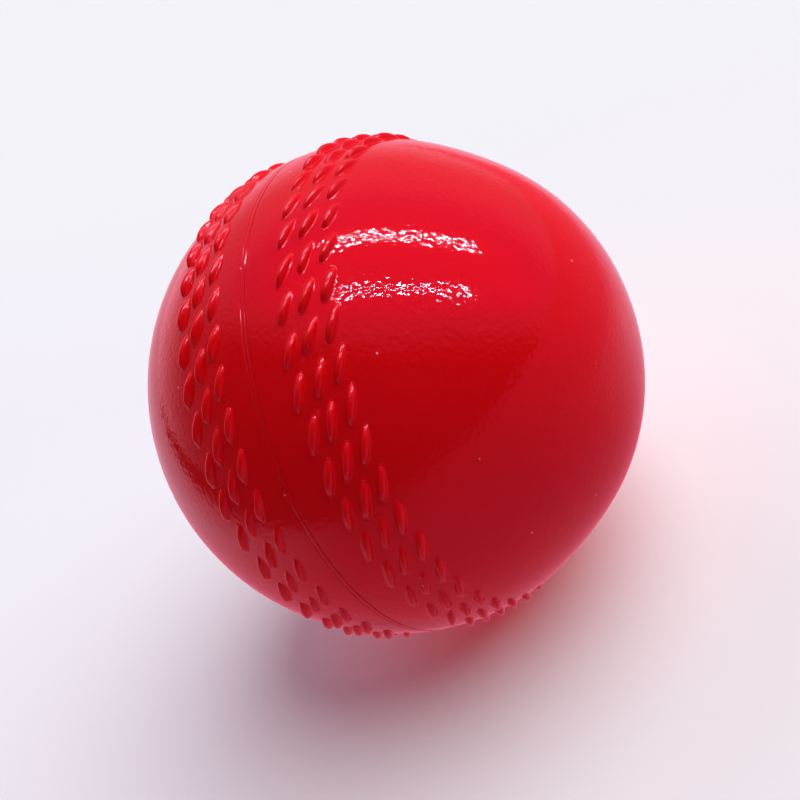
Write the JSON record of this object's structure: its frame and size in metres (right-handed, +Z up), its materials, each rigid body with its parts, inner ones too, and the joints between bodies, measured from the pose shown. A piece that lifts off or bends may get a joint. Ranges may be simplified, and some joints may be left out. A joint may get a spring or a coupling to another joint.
{
  "type": "cricket ball",
  "caption": "Glossy red moulded practice cricket ball with slanted moulded stitches in rows beside a fine parting line, over a layered cork and yarn core.",
  "frame": {"origin": "centre of the ball", "axes": "+X is the seam axis, square to the plane in which the two cover halves meet, and points into the right-hand half; +Z is up with the ball standing on its seam"},
  "size_m": [0.072, 0.073, 0.073],
  "materials": {
    "moulded_cover": "gloss",
    "weld_bead": "gloss",
    "wool_yarn": "matte",
    "cork": "matte",
    "cork_rubber": "matte"
  },
  "bodies": {
    "root": {"cover_half_right": "moulded_cover", "cover_half_left": "moulded_cover", "seam_weld_bead": "weld_bead", "outer_winding": "wool_yarn", "outer_cork_layer": "cork", "middle_winding": "wool_yarn", "inner_cork_layer": "cork", "inner_winding": "wool_yarn", "core_centre": "cork_rubber"}
  },
  "joints": []
}
